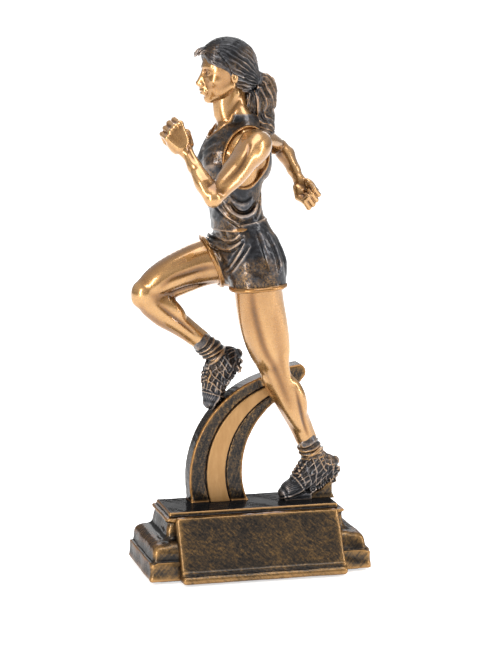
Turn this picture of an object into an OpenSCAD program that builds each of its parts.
// Cast resin runner trophy: a woman running over a curved track lane on a stepped base.
// X runs along the base (the runner faces -X), Y runs away from the name panel, Z is up.
// The origin is the middle of the base where it rests.

/* [Base] */
// Length of the plinth
base_w = 90; // [84:1:100]
// Depth of the plinth
base_d = 43; // [41:1:50]
// Height of the plinth
plinth_h = 8.5; // [7:0.5:9.5]
// Height of the top surface
base_h = 25.2; // [25.2:0.1:25.6]
// Width of the raked name panel
panel_w = 67; // [60:1:69]
// Thickness of the felt pad
felt_t = 1.2; // [0.8:0.1:2]

/* [Track lane] */
// Front face of the lane
lane_y = 5.5; // [5:0.5:7]
// Depth of the lane
lane_t = 9.5; // [8:0.5:10]
// Height of the painted stripe above its groove
stripe_t = 0.9; // [0.5:0.1:1.5]

/* [Pins] */
// Diameter of the steel pins
pin_d = 2; // [1.5:0.5:2.5]
// Gap round each pin
pin_gap = 0.05; // [0.02:0.01:0.15]

/* [Hidden] */
$fn = 48;
GOLD = "darkgoldenrod";
DARK = "dimgray";
STEEL = "silver";
FOOT = 0.4; // the casting stands this far above the rest plane, on its felt
TOP = base_h;
SIDES = 18; // sides of a cast limb
FAR = 200; // longer than anything cut

// ---- points and profiles -------------------------------------------------
function arc(cx, cy, r, from, to, n = 10) =
    [for (i = [0:n]) let(a = from + (to - from) * i / n) [cx + r * cos(a), cy + r * sin(a)]];

// ---- lofted limbs --------------------------------------------------------
// A station is [x, y, z, half width across, half depth, turn about the limb's own axis].
function unit(v) = v / norm(v);
function at(s, i) = s[max(0, min(len(s) - 1, i))];
function blend(a, b, c, d, t) =
    0.5 * (2 * b + (c - a) * t + (2 * a - 5 * b + 4 * c - d) * t * t
        + (3 * b - a - 3 * c + d) * t * t * t);
function smooth(s, steps) = concat(
    [for (i = [0:len(s) - 2], k = [0:steps - 1])
        blend(at(s, i - 1), s[i], s[i + 1], at(s, i + 2), k / steps)],
    [s[len(s) - 1]]);
function place(s) = [s[0], s[1], s[2]];
function ring(s, heading) =
    let(side0 = unit([0, 1, 0] - heading[1] * heading), front0 = cross(heading, side0),
        side = side0 * cos(s[5]) + front0 * sin(s[5]), front = cross(heading, side))
    [for (k = [0:SIDES - 1]) let(a = 360 * k / SIDES)
        place(s) + side * s[3] * cos(a) + front * s[4] * sin(a)];
function heading(s, i) = unit(place(at(s, i + 1)) - place(at(s, i - 1)));
module limb(stations, steps = 2) {
    s = smooth(stations, steps);
    n = len(s);
    points = [for (i = [0:n - 1]) each ring(s[i], heading(s, i))];
    walls = [for (i = [0:n - 2], k = [0:SIDES - 1]) let(m = (k + 1) % SIDES)
        [i * SIDES + k, (i + 1) * SIDES + k, (i + 1) * SIDES + m, i * SIDES + m]];
    polyhedron(points, concat([[for (k = [0:SIDES - 1]) k]], walls,
        [[for (k = [SIDES - 1:-1:0]) (n - 1) * SIDES + k]]), convexity = 4);
}
module rod(from, to, d) {
    v = to - from;
    translate(from) rotate([0, acos(v[2] / norm(v)), atan2(v[1], v[0])])
        cylinder(d = d, h = norm(v));
}
// Everything above a level plane
module above(z) translate([-FAR / 2, -FAR / 2, z]) cube([FAR, FAR, 2 * FAR]);
// Everything below a level plane
module below(z) translate([-FAR / 2, -FAR / 2, z - FAR]) cube([FAR, FAR, FAR]);

// ---- pins: [from, to], shared by each pin and its holes --------------------
SHOE_PINS = [[[20.5, 3.4, 17], [20.5, 3.4, 28.5]], [[33.5, 4.9, 17], [33.5, 4.9, 37]]];
LEG_ROD = [[[15.4, 0.6, 69], [31, 4.5, 36.5]]];
ARCH_DOWELS = [[[-16.5, 10.2, 15], [-16.5, 10.2, 37]], [[-6, 10.2, 15], [-6, 10.2, 37]]];
TOE_PIN = [[[-13, 10.4, 68], [-9.4, 10.2, 56.5]]];
ANKLE_PIN = [[[-23, 10.2, 94.5], [-10.5, 11.8, 82]]];
HIP_PINS = [[[3.2, -4, 104], [2, -3.6, 122]], [[-22, 10.8, 119.5], [-6, 11.2, 121.6]]];
WAIST_PIN = [[[-1.2, 4, 129], [-3.6, 4, 151]]];
SHOULDER_PINS = [[[-3.2, -15.4, 166.6], [-0.6, -2, 169.6]], [[9, 22.6, 168.4], [-2, 9, 169.6]]];
NECK_PIN = [[[-3.6, 4, 168], [-8, 4, 193]]];
PONYTAIL_PIN = [[[-1, 4, 193.6], [8.4, 4, 191.6]]];
module pins(list) color(STEEL) for (p = list) rod(p[0], p[1], pin_d);
module holes(list) for (p = list) let(u = unit(p[1] - p[0]) * 0.2)
    rod(p[0] - u, p[1] + u, pin_d + 2 * pin_gap);

// ---- base ------------------------------------------------------------------
module slab(w, d, r) {
    square([w - 2 * r, d], center = true);
    square([w, d - 2 * r], center = true);
    for (x = [-1, 1], y = [-1, 1]) translate([x * (w / 2 - r), y * (d / 2 - r)]) circle(r);
}
module felt_pad() color("darkgreen") linear_extrude(felt_t) slab(base_w - 6, base_d - 6, 3);

// Half of the stepped profile, from the plinth's top to the rim. e is its outer edge at the foot,
// and rake is how far it steps back as a share of the front's.
function squeeze(points, e, rake) = [for (p = points) [p[0] == 0 ? 0 : e - (e - p[0]) * rake, p[1]]];
function tier(e, rake = 1) = squeeze(concat(
    [[0, plinth_h - 0.5], [e, plinth_h - 0.5], [e, plinth_h]], arc(e - 5.2, 10.8, 4.8, 0, 84, 8),
    arc(e - 4.8, 18.3, 2.8, 262, 190, 5),
    [[e - 7.7, 21.8]], arc(e - 7.7, 23, 1.1, -60, 80, 6), [[0, 24.1]]), e, rake);
module both(low, high) {
    polygon(high);
    mirror([1, 0]) polygon(low);
}
BACK_RAKE = 0.5; // the back steps in half as far as the front
module tiers() intersection() {
    rotate([90, 0, 0]) translate([0, 0, -base_d]) linear_extrude(2 * base_d)
        both(tier(base_w / 2 - 1.4), tier(base_w / 2 - 1.4));
    rotate([90, 0, 90]) translate([0, 0, -base_w]) linear_extrude(2 * base_w)
        both(tier(base_d / 2 - 1.2), tier(base_d / 2 - 1, BACK_RAKE));
}
TOP_W = base_w - 21; // length of the polished top
TOP_D = 25; // depth of the polished top
module base_casting() color(DARK) difference() {
    union() {
        translate([0, 0, FOOT]) linear_extrude(plinth_h - FOOT) slab(base_w, base_d, 3);
        tiers();
        translate([0, 3.5, 20]) linear_extrude(TOP - 20) slab(TOP_W, TOP_D, 1);
    }
    panel_block();
    translate([0, 0, -1]) linear_extrude(felt_t + 1) slab(base_w - 6, base_d - 6, 3);
    holes(SHOE_PINS);
    holes(ARCH_DOWELS);
}
PANEL_TOP = [-14.8, 24.2]; // y and z of the raked face's upper edge
RAKE_FOOT = [-26.3, 3.6]; // and of its lower edge, on the lip
LIP = [-26.6, 1.8]; // middle of the lip's round
module panel_block() rotate([90, 0, 90]) translate([0, 0, -panel_w / 2])
    linear_extrude(panel_w) polygon(concat(
        [PANEL_TOP, RAKE_FOOT], arc(LIP[0], LIP[1], 1.4, 110, 260, 8),
        [[-20.2, FOOT], [-20.2, 6], [-11.6, 20], [-11.6, 24.2]]));
module front_panel() color(DARK) difference() {
    panel_block();
    translate([0, 0, -1]) linear_extrude(felt_t + 1) slab(base_w - 6, base_d - 6, 3);
}

// ---- track lane --------------------------------------------------------------
// Arcs of the lane in the XZ plane: centre x, centre z, radius
OUTER = [20.1, 34, 43];
STRIPE_OUT = [21, 36, 36.8];
STRIPE_IN = [26.9, 36.5, 35.2];
INNER = [33.2, 37, 34.4];
LANE_END = [24.2, 76.2]; // middle of the rounded tip
function foot_angle(c, z) = 180 - asin((z - c[1]) / c[2]);
function lane_edge(c, z, to, n) = arc(c[0], c[1], c[2], foot_angle(c, z), to, n);
function backwards(p) = [for (i = [len(p) - 1:-1:0]) p[i]];
module lane_outline(out, in, z, out_to, in_to, end)
    polygon(concat(lane_edge(out, z, out_to, 12), end, backwards(lane_edge(in, z, in_to, 12))));
module lane_slice(y, t) translate([0, y + t, 0]) rotate([90, 0, 0]) linear_extrude(t) children();
module stripe_shape(grow)
    lane_outline(STRIPE_OUT + [0, 0, grow], STRIPE_IN - [0, 0, grow], TOP, 96, 100, []);
module track_arch() color(DARK) difference() {
    lane_slice(lane_y, lane_t)
        lane_outline(OUTER, INNER, TOP, 104, 112,
            concat([[18, 78.6]], arc(LANE_END[0] - 2.4, LANE_END[1], 3.4, 70, -50, 6)));
    lane_slice(lane_y - 1, 1.8) stripe_shape(0.6);
    holes(ARCH_DOWELS);
    holes(TOE_PIN);
}
module lane_stripe() color("goldenrod") lane_slice(lane_y + 0.8 - stripe_t, stripe_t) stripe_shape(0);

// ---- legs ----------------------------------------------------------------------
LEFT_LEG = [[2.6, -4.6, 112.8, 8.9, 9.6, 0], [3.6, -4, 105, 8.5, 9.2, 0], [5.1, -3.2, 96, 7.7, 8.5, 0],
    [7.6, -2, 86.5, 6.4, 7, 0], [9.8, -1, 80.5, 5.8, 6.3, 0], [12.6, -0.4, 75, 5.6, 6.4, 0],
    [15.2, 0.1, 69.5, 5.6, 6.4, 0], [18.2, 0.8, 63, 5.1, 5.7, 0], [21.2, 1.9, 56.5, 4.1, 4.8, 0],
    [24.4, 3, 49.6, 3.6, 4, 0]];
LEFT_SOCK = [[24.4, 3, 49.6, 4.2, 4.5, 0], [25.9, 3.4, 46.4, 4.5, 4.9, 0], [27.8, 3.9, 42.2, 4.5, 5, 0],
    [28.8, 4.1, 40, 4.5, 5, 0]];
LEFT_SHOE = [[38.8, 5.2, 39, 1.6, 2, 0], [37.2, 5.1, 38.4, 3.6, 4.6, 0], [34, 4.9, 37.2, 4.4, 6.2, 0],
    [30.5, 4.6, 36, 4.7, 7.4, 0], [27, 4.2, 34.4, 4.9, 7.8, 0], [23.5, 3.8, 32.2, 5, 6.2, 0],
    [20.2, 3.5, 30, 5, 4.4, 0], [17, 3.1, 28.8, 4.8, 3.4, 0], [14.4, 2.9, 28, 4, 2.6, 0],
    [12.6, 2.8, 27.6, 2, 1.4, 0]];
LEFT_COLLAR = 43.6; // height of the shoe's collar
RIGHT_THIGH = [[-12.6, 11.4, 121.6, 9, 9.8, 0], [-20, 11, 120.2, 8.4, 8.9, 0],
    [-27, 10.2, 118, 7.6, 7.8, 0], [-33, 9.4, 115.2, 6.8, 7.1, 0], [-38, 8.6, 112, 6.2, 6.6, 0],
    [-41.4, 8.1, 109.6, 5, 5.3, 0], [-43.6, 7.8, 108, 2.2, 2.4, 0]];
RIGHT_SHIN = [[-42.6, 7.8, 111, 2.4, 2.4, 0], [-40.9, 8, 109, 5.2, 5.3, 0], [-37.6, 8.4, 105.6, 5.5, 6.2, 0],
    [-32, 9, 101.2, 5.4, 6.2, 0], [-26.5, 9.8, 97.2, 4.6, 5.2, 0], [-21.5, 10.4, 93.4, 3.8, 4.2, 0],
    [-17, 11, 89.9, 3.5, 3.8, 0]];
RIGHT_SOCK = [[-17, 11, 89.9, 4.1, 4.5, 0], [-14.6, 11.4, 87.8, 4.4, 4.9, 0], [-11.6, 11.8, 85, 4.5, 5, 0],
    [-10, 12, 83.4, 4.5, 5, 0]];
RIGHT_SHOE = [[-0.6, 12.3, 84.2, 1.6, 2, 0], [-2.2, 12.2, 83.4, 3.6, 4.2, 0],
    [-5, 12, 81.6, 4.4, 6, 0], [-8.4, 11.8, 78.4, 4.7, 7, 0], [-10.3, 11.5, 75, 4.9, 6.6, 0],
    [-11.4, 11.2, 71.8, 5, 5.5, 0], [-12.3, 11, 69, 4.8, 4.4, 0], [-13.2, 10.8, 66.6, 4.1, 3.3, 0],
    [-14, 10.7, 64.9, 2, 1.6, 0]];
RIGHT_COLLAR = 85.4;

module left_leg() color(GOLD) difference() {
    limb(LEFT_LEG);
    holes(HIP_PINS);
    holes(LEG_ROD);
}
module left_sock() color(DARK) difference() {
    limb(LEFT_SOCK, 1);
    below(LEFT_COLLAR);
    holes(LEG_ROD);
}
module left_shoe() color(DARK) difference() {
    limb(LEFT_SHOE);
    above(LEFT_COLLAR);
    below(TOP);
    holes(SHOE_PINS);
    holes(LEG_ROD);
}
module heel_wedge() color(DARK) difference() {
    translate([0, 8, 0]) rotate([90, 0, 0]) linear_extrude(6)
        polygon([[24.6, TOP], [35.2, TOP], [35.4, 34.5], [28, 30]]);
    limb(LEFT_SHOE);
    holes(SHOE_PINS);
}
module right_leg() color(GOLD) difference() {
    union() {
        limb(RIGHT_THIGH);
        limb(RIGHT_SHIN);
    }
    holes(HIP_PINS);
    holes(ANKLE_PIN);
}
module right_sock() color(DARK) difference() {
    limb(RIGHT_SOCK);
    below(RIGHT_COLLAR);
    holes(ANKLE_PIN);
}
module right_shoe() color(DARK) difference() {
    limb(RIGHT_SHOE);
    above(RIGHT_COLLAR);
    lane_slice(lane_y, lane_t) lane_outline(OUTER, INNER, TOP, 104, 112, []);
    holes(ANKLE_PIN);
    holes(TOE_PIN);
}

// ---- trunk -----------------------------------------------------------------------
PELVIS = [[-3, 4, 139.4, 13.4, 9.8, 0], [-1.2, 4, 133, 15.4, 11.6, 0], [0.8, 4, 126.5, 17, 12.8, 0],
    [1.8, 4, 120, 16.6, 12.6, 0], [2.2, 4, 115.4, 13, 9.4, 0]];
LEFT_HEM = [[1.6, -3.4, 126, 8, 10, 0], [2.2, -4.2, 119, 9.8, 11.6, 0], [2.6, -4.6, 112.8, 10.4, 11.6, 0]];
RIGHT_HEM = [[3, 10.6, 123, 8, 9.4, 0], [-4.5, 11, 122.4, 9.8, 10.6, 0], [-12.6, 11.4, 121.6, 10.2, 10.8, 0]];
TRUNK = [[-3.2, 4, 137.6, 15, 10.6, -2], [-4.4, 4, 143.5, 12.6, 10, -3], [-5, 4, 150, 12.6, 10.8, -4],
    [-5, 4, 157.5, 13.4, 12, -4], [-4.8, 4, 164.5, 13.8, 13, -4], [-3.6, 4, 170, 13, 11.4, -4],
    [-1.8, 4, 174, 10.8, 8.4, -4], [-1.2, 4, 176.2, 8, 6.2, -4]];
NECK = [[-2, 4, 171, 8.4, 6.4, 12], [-3, 4, 175.6, 6.8, 5.4, 8], [-5, 4, 179.4, 4.6, 4.9, 0],
    [-6.4, 4, 184, 4.3, 4.8, 0], [-7, 4, 188.6, 4.2, 4.6, 0]];
NECKLINE = [-12, 3, 180]; // middle of the ball that cuts the scoop neck
WAIST = 138.5; // where the singlet meets the shorts
module scoop() translate(NECKLINE) sphere(11.5);

module shorts() color(DARK) difference() {
    union() {
        limb(PELVIS);
        limb(LEFT_HEM);
        limb(RIGHT_HEM);
    }
    above(WAIST);
    holes(HIP_PINS);
    holes(WAIST_PIN);
}
module singlet() color(DARK) difference() {
    limb(TRUNK);
    below(WAIST);
    scoop();
    limb(NECK);
    holes(WAIST_PIN);
    holes(SHOULDER_PINS);
    holes(NECK_PIN);
}
module neck_chest() color(GOLD) difference() {
    union() {
        limb(NECK);
        intersection() {
            limb(TRUNK);
            scoop();
        }
    }
    limb(HEAD, 1);
    holes(NECK_PIN);
}

// ---- head --------------------------------------------------------------------------
HEAD = [[-14, 4, 184.6, 2.4, 3.2, 0], [-13, 4, 187, 4.6, 5.6, 0], [-11.4, 4, 190.4, 6.2, 8.2, 0],
    [-9.4, 4, 194.4, 7.2, 10.2, 0], [-8.2, 4, 198.4, 7.7, 11.2, 0], [-7.6, 4, 202.4, 7.3, 10.4, 0],
    [-7.4, 4, 205.6, 5.7, 8, 0], [-7.2, 4, 207.6, 2.8, 4.2, 0]];
HAIR = [[2, 4, 187.4, 3.4, 2, 0], [-0.8, 4, 190.4, 6.4, 5, 0], [-3.4, 4, 194.4, 8.2, 8.2, 0],
    [-6.4, 4, 198.4, 8.9, 11.6, 0], [-7.4, 4, 202.6, 8.8, 12.3, 0], [-7.8, 4, 206.6, 7, 9.8, 0],
    [-8.2, 4, 209.4, 2.8, 4.4, 0]];
PONYTAIL = [[5.5, 4, 193, 2.6, 2.8, 0], [7.8, 4, 191.2, 4.2, 4.4, 0], [7, 4.1, 187.4, 5, 5.4, 0],
    [6.6, 4.4, 183, 5, 6, 0], [7.8, 4.8, 178.6, 4, 4.6, 0], [9.6, 5.4, 175, 2.6, 2.8, 0],
    [10.8, 6, 172.2, 0.9, 0.9, 0]];
module head() color(GOLD) difference() {
    union() {
        limb(HEAD, 1);
        hull() {
            translate([-18.6, 4, 197.5]) sphere(0.8, $fn = 24);
            translate([-20.8, 4, 192.2]) sphere(1.1, $fn = 24);
            translate([-17.6, 4, 191.6]) sphere(1.6, $fn = 24);
        }
    }
    holes(NECK_PIN);
    holes(PONYTAIL_PIN);
}
module hair() color(DARK) difference() {
    limb(HAIR, 1);
    lane_slice(-FAR / 4, FAR / 2) polygon(FACE);
    limb(HEAD, 1);
    limb(NECK);
    holes(PONYTAIL_PIN);
}
// Side view of the space that the hair leaves open for the face, ear and jaw
FACE = [[-40, 203], [-17.6, 204.2], [-14.6, 201.6], [-12.6, 197], [-7, 195.4], [-3.4, 192],
    [-1.4, 186], [-1.4, 170], [-40, 170]];
BAND = [4.6, 4, 193]; // middle of the hair band
module hair_band() color(DARK) translate(BAND) rotate([0, 100, 0]) rotate_extrude()
    translate([2.2, 0]) circle(0.8);
module ponytail() color(DARK) difference() {
    limb(PONYTAIL);
    limb(HAIR, 1);
    holes(PONYTAIL_PIN);
}

// ---- arms -----------------------------------------------------------------------------
LEFT_UPPER = [[0.6, -6, 170.6, 3.4, 4, 0], [1, -10.6, 170.2, 4.8, 5.2, 0], [0, -13.4, 168.4, 5, 5.4, 0],
    [-4.4, -16.6, 164.4, 4.6, 5, 0], [-10, -19.8, 159.2, 4.2, 4.6, 0], [-15.6, -22.8, 154.6, 4, 4.4, 0],
    [-19.8, -24.8, 151.2, 3.6, 3.8, 0], [-21.8, -25.8, 149.6, 1.8, 1.9, 0]];
LEFT_FORE = [[-20.2, -26.2, 148.4, 2, 2, 0], [-20.8, -25.2, 150.2, 3.8, 4, 0],
    [-22, -22.8, 153.6, 4.1, 4.7, 0], [-24, -19.2, 158.4, 3.8, 4.3, 0],
    [-26.4, -15.4, 163.8, 2.9, 3.2, 0], [-28, -13.2, 167, 2.7, 2.7, 0],
    [-29.7, -11.7, 169.9, 4, 3.7, 0], [-31.7, -10.4, 173.3, 5.3, 5, 0],
    [-33.8, -9.2, 177, 5, 4.8, 0], [-35.2, -8.6, 179.6, 2.8, 2.6, 0]];
RIGHT_UPPER = [[0, 12.6, 170.4, 3.2, 3.6, 0], [2.6, 16.4, 170, 4.8, 5, 0], [5.6, 19.6, 169, 5, 5.2, 0],
    [10.4, 24.2, 168, 4.5, 4.8, 0], [15.6, 29.4, 167, 4.1, 4.4, 0], [20.2, 34, 166, 3.8, 4, 0],
    [22.6, 36.6, 165.3, 3.3, 3.5, 0], [23.8, 38.2, 164.8, 1.7, 1.8, 0]];
RIGHT_FORE = [[22.2, 38.4, 166.4, 1.8, 1.8, 0], [22.8, 37.4, 165, 3.6, 3.6, 0], [24.2, 34.4, 161, 3.9, 4, 0],
    [26.4, 30.6, 155.6, 3.4, 3.6, 0], [28.4, 27.8, 151, 2.7, 2.8, 0], [29.8, 26.4, 148.6, 3.2, 3.3, 0],
    [31.4, 25.2, 145.9, 4.2, 4.2, 0], [32.6, 24.4, 143.4, 3.8, 3.9, 0], [33.3, 24, 141.8, 2, 2.1, 0]];
module left_arm() color(GOLD) difference() {
    union() {
        limb(LEFT_UPPER);
        limb(LEFT_FORE);
    }
    limb(TRUNK);
    holes(SHOULDER_PINS);
}
module right_arm() color(GOLD) difference() {
    union() {
        limb(RIGHT_UPPER);
        limb(RIGHT_FORE);
    }
    limb(TRUNK);
    holes(SHOULDER_PINS);
}

// ---- pin nodes ----------------------------------------------------------------------------
module shoe_pins() pins(SHOE_PINS);
module leg_rod() pins(LEG_ROD);
module arch_dowels() pins(ARCH_DOWELS);
module toe_pin() pins(TOE_PIN);
module ankle_pin() pins(ANKLE_PIN);
module hip_pins() pins(HIP_PINS);
module waist_pin() pins(WAIST_PIN);
module shoulder_pins() pins(SHOULDER_PINS);
module neck_pin() pins(NECK_PIN);
module ponytail_pin() pins(PONYTAIL_PIN);

felt_pad();
base_casting();
front_panel();
track_arch();
lane_stripe();
heel_wedge();
left_shoe();
left_sock();
left_leg();
right_shoe();
right_sock();
right_leg();
shorts();
singlet();
neck_chest();
head();
hair();
ponytail();
hair_band();
left_arm();
right_arm();
shoe_pins();
leg_rod();
arch_dowels();
toe_pin();
ankle_pin();
hip_pins();
waist_pin();
shoulder_pins();
neck_pin();
ponytail_pin();
